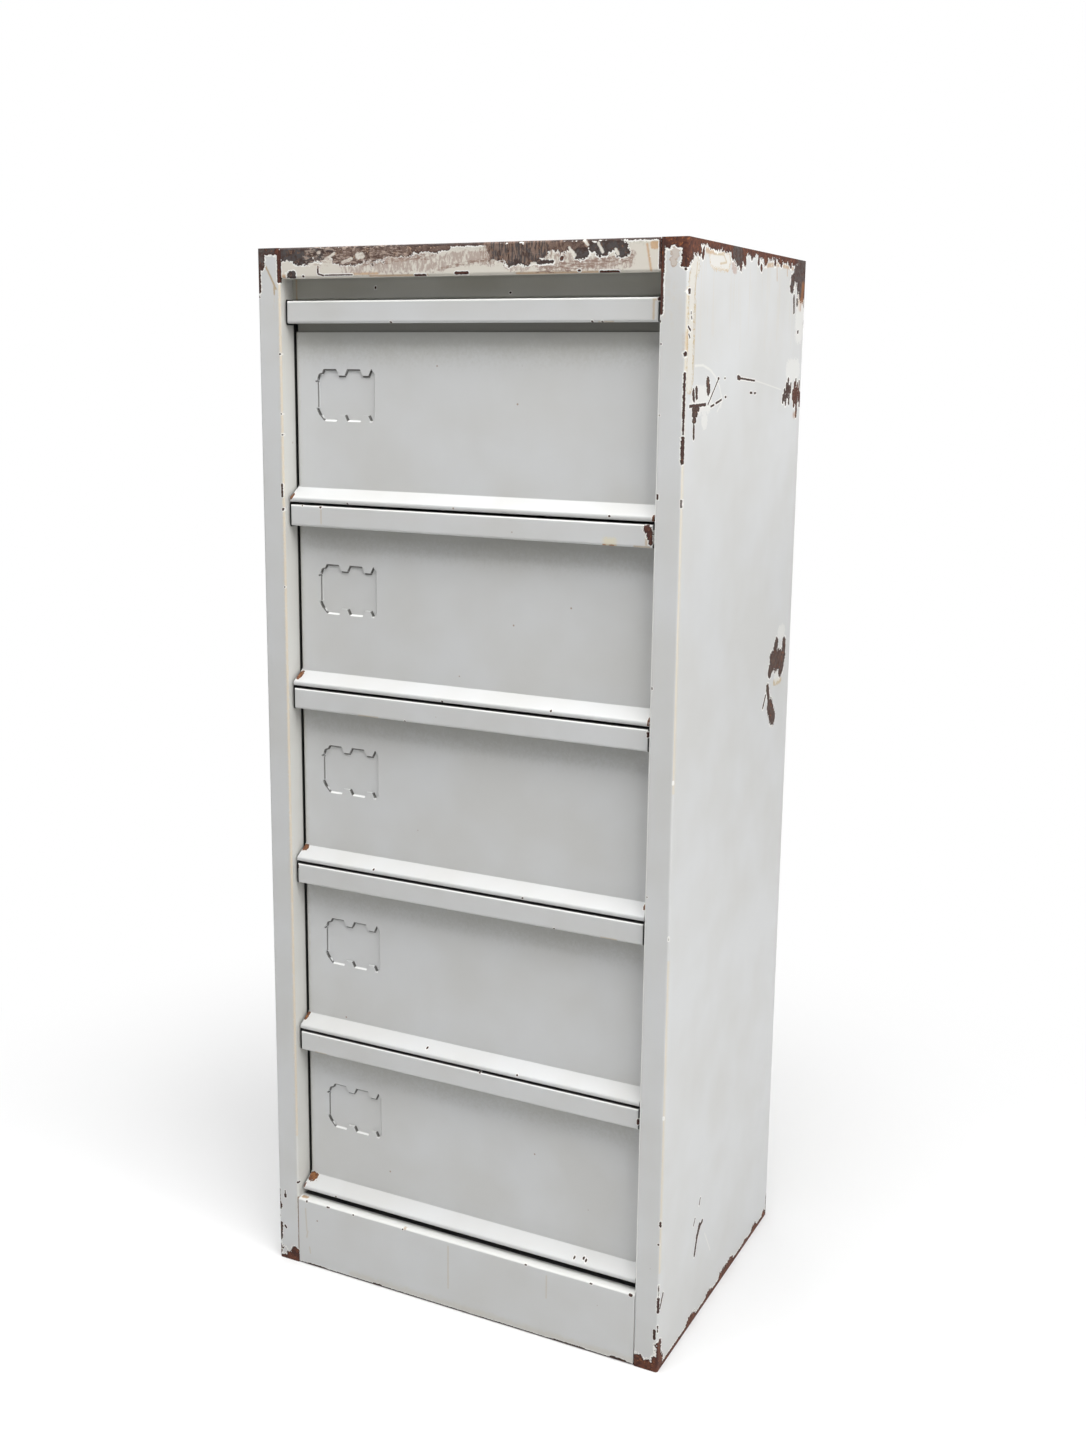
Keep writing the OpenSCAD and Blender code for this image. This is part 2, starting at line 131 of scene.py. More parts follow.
def nearest(look, patches, outline):
    """Distance in millimetres to the nearest patch, a box rounded by its least half size."""
    tree = look["tree"]
    away = None
    for centre, half, turn in patches:
        own = add(tree, "VectorMath", {0: look["spot"], 1: centre}, operation="SUBTRACT").outputs[0]
        if any(turn):
            axes = Euler(turn).to_matrix().transposed()
            parts = [add(tree, "VectorMath", {0: own, 1: axis}, operation="DOT_PRODUCT").outputs["Value"]
                     for axis in axes]
            own = add(tree, "CombineXYZ", dict(zip("XYZ", parts))).outputs[0]
        least = min(half)
        own = add(tree, "VectorMath", {0: own}, operation="ABSOLUTE").outputs[0]
        own = add(tree, "VectorMath", {0: own, 1: [h - least for h in half]},
                  operation="SUBTRACT").outputs[0]
        own = add(tree, "VectorMath", {0: own, 1: (0, 0, 0)}, operation="MAXIMUM").outputs[0]
        reach = add(tree, "VectorMath", {0: own}, operation="LENGTH").outputs["Value"]
        uneven = look[outline] if outline else -1.0
        reach = add(tree, "Math", {0: uneven, 1: least, 2: reach},
                    operation="MULTIPLY_ADD").outputs[0]
        if away is None:
            away = reach
        else:
            away = add(tree, "Math", {0: away, 1: reach}, operation="MINIMUM").outputs[0]
    return away


def flaked(look, patches, tones, outline="ragged", lip=1.0, deep=True):
    """Enamel flaked to the steel: a primer lip, a dark rusty border, and mottled steel inside."""
    tree = look["tree"]
    away = nearest(look, patches, outline)
    plain, dark, orange = (linear(tone) for tone in tones)
    bare = add(tree, "MapRange", {"Value": away, "From Min": 0.25, "From Max": -0.25}).outputs[0]
    primed = add(tree, "MapRange", {"Value": away, "From Min": lip + 0.5, "From Max": lip}).outputs[0]
    border = add(tree, "MapRange", {"Value": away, "From Min": -2.4, "From Max": -0.6}).outputs[0]
    # Dark blots are about 5 mm wide, and orange specks of fresh rust about 3 mm.
    blots = add(tree, "TexNoise", {"Vector": look["point"], "Scale": 0.19, "Detail": 4.0,
                                   "Roughness": 0.65}).outputs["Fac"]
    blots = add(tree, "MapRange", {"Value": blots, "From Min": 0.45, "From Max": 0.62}).outputs[0]
    sparks = add(tree, "TexNoise", {"Vector": look["point"], "Scale": 0.31, "Detail": 2.0,
                                    "Distortion": 1.2}).outputs["Fac"]
    sparks = add(tree, "MapRange", {"Value": sparks, "From Min": 0.6, "From Max": 0.7}).outputs[0]
    steel = add(tree, "Mix", {0: blots, 6: plain, 7: dark}, data_type="RGBA").outputs[2]
    steel = add(tree, "Mix", {0: sparks, 6: steel, 7: orange}, data_type="RGBA").outputs[2]
    steel = add(tree, "Mix", {0: border, 6: steel, 7: dark}, data_type="RGBA").outputs[2]
    # Where steel is bare already, no primer is left to show.
    left_on = add(tree, "Math", {0: 1.0, 1: look["bare"]}, operation="SUBTRACT").outputs[0]
    primed = add(tree, "Math", {0: primed, 1: left_on}, operation="MULTIPLY").outputs[0]
    look["bare"] = add(tree, "Math", {0: look["bare"], 1: bare}, operation="MAXIMUM").outputs[0]
    under = add(tree, "Mix", {0: primed, 6: look["colour"], 7: linear(PRIMER)},
                data_type="RGBA").outputs[2]
    look["colour"] = add(tree, "Mix", {0: bare, 6: under, 7: steel}, data_type="RGBA").outputs[2]
    look["rough"] = add(tree, "Mix", {0: bare, 2: look["rough"], 3: STEEL_ROUGHNESS}).outputs[0]
    if deep:
        grain = add(tree, "Math", {0: look["small"], 1: PITTING, 2: -COAT_THICKNESS},
                    operation="MULTIPLY_ADD").outputs[0]
        look["height"] = add(tree, "Math", {0: bare, 1: grain, 2: look["height"]},
                             operation="MULTIPLY_ADD").outputs[0]


def stained(look, patches, tone, amount, soft, outline="ragged", line=None, width=1.2):
    """A stain on the enamel, soft at its outline, or with a darker tide line round it."""
    tree = look["tree"]
    away = nearest(look, patches, outline)
    within = add(tree, "MapRange", {"Value": away, "From Min": soft, "From Max": -soft, "To Max": amount},
                 interpolation_type="SMOOTHSTEP").outputs[0]
    look["colour"] = add(tree, "Mix", {0: within, 6: look["colour"], 7: linear(tone)},
                         data_type="RGBA").outputs[2]
    if line:
        off = add(tree, "Math", {0: away}, operation="ABSOLUTE").outputs[0]
        patchy = add(tree, "MapRange", {"Value": look["cloud"], "From Min": 0, "From Max": 1,
                                        "To Min": 0.55, "To Max": 0.95}).outputs[0]
        on_line = add(tree, "MapRange", {"Value": off, "From Min": width, "From Max": width * 0.3,
                                         "To Max": patchy}).outputs[0]
        look["colour"] = add(tree, "Mix", {0: on_line, 6: look["colour"], 7: linear(line)},
                             data_type="RGBA").outputs[2]


def streaked(look, patches, tone, amount, grain, share=0.5, soft=2.0):
    """Scuffs or weeping: fine streaks inside patches; grain is their size on each axis, in mm."""
    tree = look["tree"]
    within = add(tree, "MapRange", {"Value": nearest(look, patches, "ragged"), "From Min": soft,
                                    "From Max": -soft}, interpolation_type="SMOOTHSTEP").outputs[0]
    drawn = add(tree, "Mapping", {"Vector": look["point"], "Scale": [1 / g for g in grain]}).outputs[0]
    strokes = add(tree, "TexNoise", {"Vector": drawn, "Scale": 1.0, "Detail": 3.0, "Roughness": 0.6})
    strokes = add(tree, "MapRange", {"Value": strokes.outputs["Fac"], "From Min": share + 0.06,
                                     "From Max": share - 0.06, "To Min": amount, "To Max": 0.0}).outputs[0]
    both = add(tree, "Math", {0: within, 1: strokes}, operation="MULTIPLY").outputs[0]
    look["colour"] = add(tree, "Mix", {0: both, 6: look["colour"], 7: linear(tone)},
                         data_type="RGBA").outputs[2]


def start_coat(name, coat=ENAMEL, warm="#CACAC8"):
    """Fresh stoved enamel: even, half gloss, a faint orange peel and a few specks of rust."""
    look = start_enamel(name)
    tree = look["tree"]
    look["colour"] = add(tree, "Mix", {0: look["cloud"], 6: linear(coat), 7: linear(warm)},
                         data_type="RGBA").outputs[2]
    # A speck is under 2 mm wide, and about every second cell has one.
    dots = add(tree, "TexVoronoi", {"Vector": look["point"], "Scale": 1 / SPECK_SPACING})
    near = add(tree, "MapRange", {"Value": dots.outputs["Distance"], "From Min": 0.045, "From Max": 0.025,
                                  "To Max": 0.7}).outputs[0]
    pick = add(tree, "SeparateColor", {"Color": dots.outputs["Color"]}).outputs["Red"]
    pick = add(tree, "Math", {0: pick, 1: 0.55}, operation="GREATER_THAN").outputs[0]
    speck = add(tree, "Math", {0: near, 1: pick}, operation="MULTIPLY").outputs[0]
    look["colour"] = add(tree, "Mix", {0: speck, 6: look["colour"], 7: linear(SPECK)},
                         data_type="RGBA").outputs[2]
    peel = add(tree, "TexNoise", {"Vector": look["point"], "Scale": 0.5, "Detail": 1.0}).outputs["Fac"]
    look["height"] = add(tree, "Math", {0: peel, 1: PEEL_HEIGHT}, operation="MULTIPLY").outputs[0]
    look["rough"] = add(tree, "MapRange", {"Value": look["cloud"], "To Min": HALF_GLOSS[0],
                                           "To Max": HALF_GLOSS[1]}).outputs[0]
    return look


def finish_coat(look):
    """Closes the material: heights in millimetres become bump."""
    tree = look["tree"]
    bump = add(tree, "Bump", {"Height": look["height"], "Distance": MM, "Strength": 1.0}).outputs[0]
    shader = add(tree, "BsdfPrincipled", {"Base Color": look["colour"], "Roughness": look["rough"],
                                          "Normal": bump})
    add(tree, "OutputMaterial", {"Surface": shader.outputs[0]})
    return look["material"]


def dress(name, material):
    """Gives a CAD node its finish and the material slot that it takes it from."""
    shown = nodes[name]
    shown.data.materials.clear()
    shown.data.materials.append(material)


def joint_shade(look, side):
    """Painted shade on a post's return: black deep in the joint beside the drawers and by each pull."""
    x = side * POST_INNER_X
    shaded_strips = [((x, -129, 520), (2, 7.2, 444), (0, 0, 0))]
    for pull_top in DRAWER_TOPS.values():
        shaded_strips.append(((x, -138, pull_top - 10), (2, 10, 11.5), (0, 0, 0)))
    stained(look, shaded_strips, "#1C1B19", 0.97, 0.4, None)


# Right side: rust along the top edge with drips, a worn front corner, and knocks near the back.
right = start_coat("side_enamel_right")
streaked(right, [on_side(0, 985, 330, 120)], "#CDBDA0", 0.16, (9, 5, 90), 0.6, 12)
stained(right, [on_side(-84, 995, 50, 15)], "#DEDBD5", 0.9, 1.5, "fine", "#C2A36A", 1.0)
stained(right, [on_side(-147.5, 935, 13, 98), on_side(-141, 987, 18, 18, 40)], "#D6D2C9", 0.85, 1.0, "fine",
        "#B1965C", 0.9)
stained(right, [along_side(-98, 999, -76, 1000, 1.6), along_side(-76, 1000, -68, 994, 1.6),
                along_side(-68, 994, -84, 992, 1.6), along_side(-137, 990, -141, 962, 1.4),
                along_side(-138, 960, -139, 896, 1.2), on_side(119, 601, 26, 7), on_side(141, 862, 7, 6)],
        "#B6985A", 0.6, 0.7, "fine")
stained(right, [on_side(-108, 1001, 22, 5), along_side(32, 997, 67, 1001, 4),
                along_side(67, 1001, 116, 1000, 4), along_side(67, 1001, 69, 986, 1.8),
                along_side(98, 1001, 99, 992, 2.2), along_side(138, 977, 141, 964, 10),
                along_side(-155, 934, -155, 920, 3)],
        "#B3853F", 0.6, 1.0, "fine")
stained(right, [along_side(-47, 999, -48, 990, 14)], "#B49D92", 0.8, 1.0, "fine")
stained(right, [on_side(128, 905, 44, 22), on_side(-110, 863, 14, 14), on_side(-118, 880, 50, 24),
                on_side(126, 650, 24, 14), on_side(119, 606, 20, 12), on_side(143, 950, 26, 40)],
        "#DEDDD9", 0.75, 1.0, "fine")
# A pale arc rubbed into the paint, and long pale scratches.
stained(right, [along_side(-136, 908, -118, 908.6, 2), along_side(-118, 908.6, -100, 905, 2),
                along_side(-100, 905, -86, 899, 2), along_side(-86, 899, -76, 891, 2),
                along_side(-76, 891, -70, 882, 1.8), along_side(-70, 882, -71, 873, 1.6),
                along_side(-40, 80, -22, 52, 1.2), along_side(16, 896, 95, 887, 1),
                along_side(-66, 880, -80, 870, 1.6)], "#E1E0DB", 0.8, 0.7, "fine")
# Right post, on the same sheet: a painted highlight runs along its fold, and it has a few runs of rust.
stained(right, [on_front(186.6, 520, 1.8, 890)], "#F2F2EF", 1.0, 0.3, None)
stained(right, [on_front(209.4, 760, 1.0, 420), on_front(209.4, 250, 1.0, 300)], "#D3C4A6", 0.55, 0.6, "fine")
stained(right, [on_front(199, 996, 8, 11, -20), on_front(197, 990, 5, 8, 30)], "#B9A796", 0.55, 1.2,
        "ragged", "#A58A70", 0.6)
flaked(right, [on_side(0, 1011, 340, 15), along_side(-155, 1008, -138, 1003, 17),
               along_side(-140, 1004, -131, 999, 9), along_side(-123, 1003, -125, 994, 5),
               on_side(-152, 1001, 13, 26), along_side(-107, 1008, -91, 1006, 10),
               along_side(-55, 1007, -53, 998, 6), along_side(-37, 1003, -31, 997, 17),
               along_side(-26, 1007, -22, 996, 9), along_side(-4, 1006, -4, 1001, 5),
               along_side(15, 1005, 15, 998, 5), along_side(23, 997, 23, 993, 5),
               along_side(34, 1006, 36, 1001, 13), along_side(60, 1006, 62, 1001, 8),
               along_side(76, 1006, 80, 1002, 10), along_side(108, 1006, 109, 1001, 6),
               on_front(208, 999, 9, 28), on_front(198, 1008, 24, 10),
               on_front(192, 1003, 5, 6), on_front(203, 1003, 8, 7)], RED_RUST, "ragged", 1.2)
flaked(right, [on_side(-153, 15, 9, 34), on_side(-150, 6, 15, 18), on_side(0, 1, 330, 7),
               on_side(-71.5, 2, 27, 16), on_side(-22, 1, 21, 14), on_side(28, 2, 46, 16),
               on_side(87, 1, 16, 11), on_side(116, 2, 20, 14), on_side(147.6, 2, 10, 15),
               on_side(156, 13, 5, 26),
               on_front(198, 3, 26, 15), on_front(191, 7, 11, 14), on_front(207, 8, 6, 16),
               on_front(187.6, 995, 4, 30), on_front(187.5, 965, 3.2, 34)], RED_RUST, "fine", 1.0)
flaked(right, [along_side(141, 1006, 145, 985, 34), on_side(147, 984, 22, 30),
               along_side(118, 991, 114, 981, 13), on_side(129, 996, 20, 18),
               along_side(-47, 1007, -34, 1001, 22)], GREY_STEEL, "fine", 1.2)
flaked(right, [along_side(112, 643, 106, 626, 12), along_side(136, 640, 136, 628, 11),
               along_side(136, 628, 129, 610, 14), on_side(117, 623, 32, 22),
               along_side(98, 630, 102, 617, 14), along_side(96, 619, 93, 612, 12),
               along_side(127, 615, 126, 607, 10),
               along_side(88, 601, 94, 586, 8), along_side(84, 593, 76, 581, 3.4),
               along_side(96, 582, 110, 563, 17), along_side(110.5, 893, 109, 873, 4.6),
               along_side(115, 897, 114, 880, 5.4), along_side(119.6, 890, 119, 874, 5),
               along_side(105, 887, 104, 877, 5.4), along_side(100.6, 882, 100, 875, 4.4),
               along_side(123.6, 893, 123, 884, 3.6)], BROWN_STEEL, "fine", 1.2)
flaked(right, [along_side(131, 886, 131, 878, 5), along_side(135.4, 893, 135, 871, 5.4),
               along_side(140, 888, 140, 874, 5.4), along_side(139, 897, 139, 890, 3.6),
               along_side(144.4, 892, 143, 861, 5.4), along_side(149, 887, 149, 876, 5),
               along_side(150, 895, 150, 888, 3.6), along_side(153, 884, 153, 871, 4)], RED_RUST, "fine", 1.0)
flaked(right, [along_side(155, 1000, 157, 966, 7), along_side(122, 975, 124, 959, 4.6),
               along_side(132, 972, 133, 966, 4.6), along_side(156, 966, 157, 958, 3),
               along_side(156, 953, 157, 945, 4), on_side(139, 941.6, 4.5, 3.6), on_side(-153, 966.5, 6, 4.6),
               along_side(-154, 939, -148, 936, 2.2), along_side(-152, 933, -149, 930, 2),
               along_side(-148, 951, -148, 949, 2), along_side(-147, 947, -146, 945, 2),
               on_edge(210, 917, 5, 5), on_edge(210, 884, 3.6, 38), on_edge(210, 860, 3, 16),
               on_edge(210, 840, 4.8, 24), along_side(-138, 888, -136, 880, 5.4),
               along_side(-131, 890, -129.6, 882, 5.4), along_side(-105, 897, -102, 886, 8),
               on_side(-79, 897.7, 4.6, 2.4), on_side(-63, 898, 3.6, 1.6),
               along_side(-146, 875.4, -108, 876.4, 2.8), along_side(-139, 873, -124, 873, 5),
               along_side(-138, 869, -128, 869, 6), along_side(-137, 864, -131, 864, 6),
               along_side(-134.6, 860, -134, 849, 4.4), along_side(-96, 874.4, -88, 876, 2),
               along_side(-84, 877, -70, 880, 2), on_side(-60, 882, 4.6, 2.2),
               along_side(-79, 897.5, -103, 876, 1.8), along_side(-31, 898.5, -24, 898, 4.2),
               along_side(-26, 898, 16, 895.6, 1.8), on_side(7, 885, 7, 2.2), on_side(18, 884.6, 6, 2),
               along_side(-47, 97, -56, 94, 4), along_side(-55, 97, -62, 85, 6),
               along_side(-61, 88, -67, 70, 4.4), along_side(-55, 125, -58, 119, 2.4),
               along_side(-68, 110, -72, 104, 2),
               on_edge(210, 149, 3.6, 6), on_edge(210, 80, 2.2, 18), on_edge(210, 68, 4, 16),
               along_side(-147, 76, -154, 64, 3), on_edge(210, 44, 2.4, 8), on_edge(210, 560, 1.6, 3),
               on_edge(210, 420, 1.8, 4), on_edge(210, 252, 1.6, 3)], BROWN_STEEL, "fine", 0.6, False)
# Rust weeps from the bare corner at the back.
stained(right, [along_side(150, 986, 147, 970, 8), along_side(143, 972, 144, 962, 4),
                on_side(138, 863, 9, 5)], "#9C6539", 0.6, 2.5)
flaked(right, [on_front(207.7, 983.6, 2.4, 2.4), on_front(207.9, 989, 1.1, 10), on_front(187.2, 943, 1.3, 2),
               on_front(188.2, 925, 1.3, 1.6), on_front(188.5, 801.5, 1.8, 5), on_front(209.2, 796.7, 1.2, 7),
               on_front(208, 129, 2.2, 2.2), on_front(206.4, 38, 2.8, 11), on_front(188.4, 868, 1, 1.2),
               on_front(188, 640, 1.2, 2.4), on_front(188.2, 455, 1, 1.4)], BROWN_STEEL, "fine", 0.35, False)
# Painted shade in the joints beside the drawers.
joint_shade(right, 1)
dress("side_right", finish_coat(right))

# Left side: the same sheet, mirrored. Its outer face has stood by a wall and has fewer knocks.
left = start_coat("side_enamel_left")
LEFT = -SIDE_X
streaked(left, [on_side(0, 985, 330, 120, 0, LEFT)], "#C9B08C", 0.25, (9, 5, 90), 0.62, 6)
stained(left, [on_side(40, 560, 120, 30, 8, LEFT), on_side(-60, 300, 46, 70, 12, LEFT)], "#D3D2CC", 0.5, 3.0)
stained(left, [((-POST_INNER_X, -146, 520), (3, 12, 470), (0, 0, 0))], "#C9C7BE", 0.5, 2.0)
stained(left, [((-POST_INNER_X, -157, 560), (1.6, 1.8, 420), (0, 0, 0))], "#CDB795", 0.5, 0.8, "fine")
stained(left, [along_front(-203, 997, -190, 973, 1.8), along_front(-192, 976, -192, 968, 1.6)],
        "#A5864C", 0.7, 0.6, "fine")
stained(left, [on_front(-186.6, 37, 1.4, 72)], "#7A5A3E", 0.85, 0.4, "fine")
flaked(left, [on_side(0, 1011, 340, 14, 0, LEFT), on_side(-146, 1001, 22, 24, 0, LEFT),
              on_side(148, 1000, 22, 30, 0, LEFT), on_side(60, 1004, 34, 12, 0, LEFT),
              on_side(-20, 1005, 26, 9, 0, LEFT), on_side(0, 0, 330, 4, 0, LEFT),
              on_side(-150, 6, 16, 22, 0, LEFT), on_side(150, 5, 18, 20, 0, LEFT),
              on_side(30, 1, 50, 10, 0, LEFT), on_side(-60, 1, 22, 9, 0, LEFT)], RED_RUST, "ragged", 1.2)
flaked(left, [along_side(-120, 762, -112, 744, 7, LEFT), along_side(-112, 756, -101, 748, 8, LEFT),
              along_side(94, 452, 98, 434, 8, LEFT), along_side(101, 446, 108, 424, 9, LEFT),
              along_side(106, 430, 112, 414, 5, LEFT), on_side(20, 222, 11, 7, 20, LEFT),
              on_side(27, 217, 6, 8, 0, LEFT), on_side(156, 702, 5, 22, 0, LEFT),
              on_side(156, 232, 5, 20, 0, LEFT), on_side(155, 214, 7, 14, 0, LEFT)],
       BROWN_STEEL, "ragged", 1.2)
flaked(left, [along_side(60, 640, 104, 633, 1.4, LEFT), along_side(-40, 900, 24, 886, 1.3, LEFT),
              along_side(-70, 480, -62, 452, 1.4, LEFT)], BROWN_STEEL, "fine", 0.4, False)
flaked(left, [on_front(-198, 1007.5, 28, 9), on_front(-206.5, 1000, 9, 22), on_front(-208.6, 982, 4.4, 26)],
       GREY_STEEL, "fine", 0.8)
flaked(left, [on_front(-186.8, 994, 3.6, 32), on_front(-188, 1006, 6, 8), on_front(-191, 7, 11, 17),
              on_front(-197, 4, 11, 11), on_front(-202, 1, 16, 6)], RED_RUST, "fine", 0.7)
flaked(left, [on_front(-202.3, 70.5, 3, 5), on_front(-202.4, 74, 1.4, 5), on_front(-209.4, 58, 6, 9),
              on_front(-209.6, 70, 2.6, 14), on_front(-209.4, 34, 7, 12), on_front(-209.6, 25, 6, 12),
              on_front(-209.6, 46, 2, 3), along_front(-203.6, 37, -201.6, 34.4, 2.4),
              on_front(-186.6, 88.6, 2.4, 2.4), on_front(-188, 790.6, 2, 13),
              on_front(-187.4, 773, 1.8, 3), on_front(-187.4, 915, 1.6, 1.8),
              on_front(-208.4, 966, 1.8, 1.8), on_front(-187.2, 861, 1.2, 1.4),
              on_front(-186.8, 842, 1.4, 1.6), on_front(-187.4, 700, 1.2, 1.6)],
       BROWN_STEEL, "fine", 0.35, False)
# Painted shade in the joints beside the drawers.
joint_shade(left, -1)
dress("side_left", finish_coat(left))

# --- Top and header -------------------------------------------------------------------------
# The top is one sheet whose front edge is folded down as a 27 mm rail and spot-welded between the
# posts. Boxes dragged over it scuffed the rail to mauve primer and brown steel. A plain header
# strip behind it closes the gap over the top drawer. Its coat is a darker olive grey that stands
# in for the shade under the rail, painted lighter towards its lower edge.

SCUFF = "#A8968C"
RAIL_TONES = ("#464140", "#36251F", "#6E503E")
SPECKLED = ("#6F5B51", "#4A362E", "#B0937C")
DUSTY_ROUGHNESS = 0.95
# The header strip and the drawers' panels lie in one plane.
PANEL_Y = -137


def on_top(x, y, width, length, lean=0):
    """A worn patch on the top: its centre, half sizes and turn."""
    low = min(width, length) / 2
    return (x, y, TOP_Z), (width / 2, length / 2, max(low, 4)), (0, 0, math.radians(lean))


top = start_coat("top_enamel", "#CFCDC6", "#C6C1B5")
# The upper face is dull with ground-in dust.
stained(top, [((0, 0, TOP_Z), (212, 158, 1.2), (0, 0, 0))], "#A3A19B", 0.9, 0.6, None)
level = add(top["tree"], "SeparateXYZ", {"Vector": top["point"]}).outputs["Z"]
upper = add(top["tree"], "MapRange", {"Value": level, "From Min": TOP_Z - 1,
                                      "From Max": TOP_Z - 0.6}).outputs[0]
top["rough"] = add(top["tree"], "Mix", {0: upper, 2: top["rough"], 3: DUSTY_ROUGHNESS}).outputs[0]
stained(top, [on_front(0, 992, 374, 26)], "#D6D0C5", 0.8, 2.0, "fine")
stained(top, [along_front(174, 1004, 178, 983, 1.8), on_front(181, 1003, 9, 7), on_front(-180, 984, 12, 3),
              on_front(100, 982.8, 90, 1.6), on_front(-60, 983, 60, 1.4), on_front(-95, 985, 30, 2)],
        "#B98749", 0.65, 0.9, "fine")
streaked(top, [on_front(-99, 993, 44, 14), on_front(-46, 993, 78, 14), on_front(13, 996, 60, 12),
               on_front(105, 992, 120, 14)], SCUFF, 0.85, (2.0, 9, 6), 0.47, 0.8)
streaked(top, [on_front(-62, 997, 74, 7, 4), on_front(118, 989, 90, 7, 5), on_front(8, 992, 60, 3, 8)],
         "#84695C", 0.85, (5, 9, 1.2), 0.5, 0.8)
flaked(top, [on_front(-128, 1004, 52, 12), on_front(-96, 1002, 50, 15), on_front(-66, 1004, 44, 11),
             on_front(-112, 997, 34, 8), on_front(96, 1004, 60, 10), on_front(-32, 1006, 48, 8),
             on_front(2, 1008, 60, 4)],
       SPECKLED, "ragged", 0.5)
flaked(top, [on_front(-168, 1003, 34, 14), on_front(-160, 998, 24, 9), on_front(-143, 1001, 14, 9),
             on_front(57, 1001, 60, 17), on_front(62, 994, 34, 10), on_front(42, 999, 18, 10),
             on_front(80, 991.5, 22, 4), on_front(117, 998, 16, 9), on_front(126, 1002, 11, 9, 20),
             on_front(141, 1003.5, 26, 10), on_front(152, 1000, 11, 15), on_front(134, 999, 12, 8),
             on_front(-173, 985, 11, 7), on_front(0, 1009.5, 372, 5), on_front(-140, 1006, 30, 5)],
       RAIL_TONES, "ragged", 0.9)
flaked(top, [on_front(98, 994, 4, 4), on_front(-144, 989, 2, 7), along_front(-144, 985.5, -138, 984, 1.5),
             on_front(-38, 982.8, 12, 2), on_front(3, 984, 14, 2.6), on_front(141, 982.5, 18, 2.4),
             on_front(-122, 984.3, 30, 1.2), on_front(114, 984, 3, 2), on_front(-160, 983.6, 2.4, 2),
             on_front(-185, 994, 2.6, 27), on_front(185.4, 996, 1.8, 24)], RED_RUST, "fine", 0.5, False)
# Cream islands left in the bare parts, and long scuffs over them.
stained(top, [on_front(-99, 1000, 9, 5), along_front(-136, 998, -126, 1003, 2.2),
              along_front(-118, 995, -108, 998, 2.4), on_front(-143, 1004, 4, 3), on_front(-152, 994, 5, 3),
              along_front(104, 1003, 110, 996, 3), along_front(131, 1006, 135, 998, 2.6),
              along_front(146, 1001, 149, 996, 2.6), on_front(87, 995, 9, 3), on_front(34, 992, 7, 4),
              on_front(72, 990.5, 6, 2.4), along_front(118, 1008, 122, 1004, 2.4)],
        "#DAD5CB", 0.95, 0.5, "ragged")
streaked(top, [on_front(-104, 1001, 110, 16)], "#B3A194", 0.7, (3.5, 9, 1.3), 0.54, 1.0)
streaked(top, [on_front(62, 1001, 84, 18)], "#8E7566", 0.75, (1.1, 9, 7), 0.53, 1.0)
# Wear on the top itself: rusty along its edges, scuffed where things stood on it.
streaked(top, [on_top(40, -20, 240, 150), on_top(-110, 60, 140, 110)], "#B7A89C", 0.6, (26, 4, 9), 0.5, 6)
flaked(top, [on_top(0, -150, 400, 9), on_top(-208, 0, 10, 320), on_top(208, 0, 11, 320),
             on_top(0, 156, 400, 8), on_top(-186, -143, 40, 18), on_top(190, -138, 36, 30),
             on_top(60, -144, 70, 18), on_top(190, 140, 44, 38), on_top(-120, -145, 80, 16)],
       RED_RUST, "ragged", 1.4)
flaked(top, [on_top(-30, 40, 34, 20, 30), on_top(92, -60, 26, 16, -20), on_top(-140, -70, 16, 12),
             on_top(130, 84, 12, 22, 15), on_top(-20, -96, 60, 2.4, 12), on_top(64, 30, 80, 2.2, -24)],
       BROWN_STEEL, "fine", 1.2)
dress("top_panel", finish_coat(top))

header = start_coat("header_enamel_painted_shade", "#BEBDB4", "#B3B1A6")
# Painted light: the strip grows lighter towards its lower edge, out of the rail's shade.
stained(header, [on_front(0, 964, 380, 12, 0, PANEL_Y)], "#D4D3CE", 0.5, 7, None)
stained(header, [on_front(-181.5, 985, 1.8, 60, 0, PANEL_Y)], "#B59E7C", 0.7, 0.7, "fine")
flaked(header, [on_front(-96, 974, 2.2, 3, 0, PANEL_Y), on_front(40, 968, 2.2, 1.8, 0, PANEL_Y)],
       BROWN_STEEL, "fine", 0.4)
dress("header_rail", finish_coat(header))

# --- Plinth and base ------------------------------------------------------------------------
# The plinth is folded sheet, flush with the posts and welded to them. It has been mopped against,
# so the enamel has tide marks low down and a rusty lower edge, painted dark enough to stand also
# for the contact shadow on the floor. The base lies on its upper flange.

PLINTH_Z = 72
# Black painted where narrow slits lie in deep shade.
SLIT_SHADE = "#1D1B19"

plinth = start_coat("plinth_enamel")
# The fold has a painted highlight, and behind it the flange is painted black as the shade under the lowest
# ledge.
stained(plinth, [((0, -151.6, PLINTH_Z), (190, 6.0, 1.6), (0, 0, 0))], "#E4E4E1", 0.9, 0.4, None)
stained(plinth, [((0, -139.4, PLINTH_Z), (190, 5.8, 1.6), (0, 0, 0))], SLIT_SHADE, 0.95, 0.4, None)
stained(plinth, [((-181, -152, PLINTH_Z), (4, 2.4, 2), (0, 0, 0)), on_front(-60, 71.4, 3, 1.4)],
        "#A9824F", 0.8, 0.8, "fine")
stained(plinth, [on_front(-10.6, 44, 1.4, 46), on_front(96, 54, 1.2, 24), on_front(-177, 50, 1.4, 26, 3),
                 on_front(-176, 34, 1.6, 9, -12), on_front(-173, 17, 1.4, 8, 8)], "#BDB09A", 0.5, 0.7, "fine")
stained(plinth, [on_front(40, 4, 330, 7)], "#C4BEB0", 0.45, 2.5)
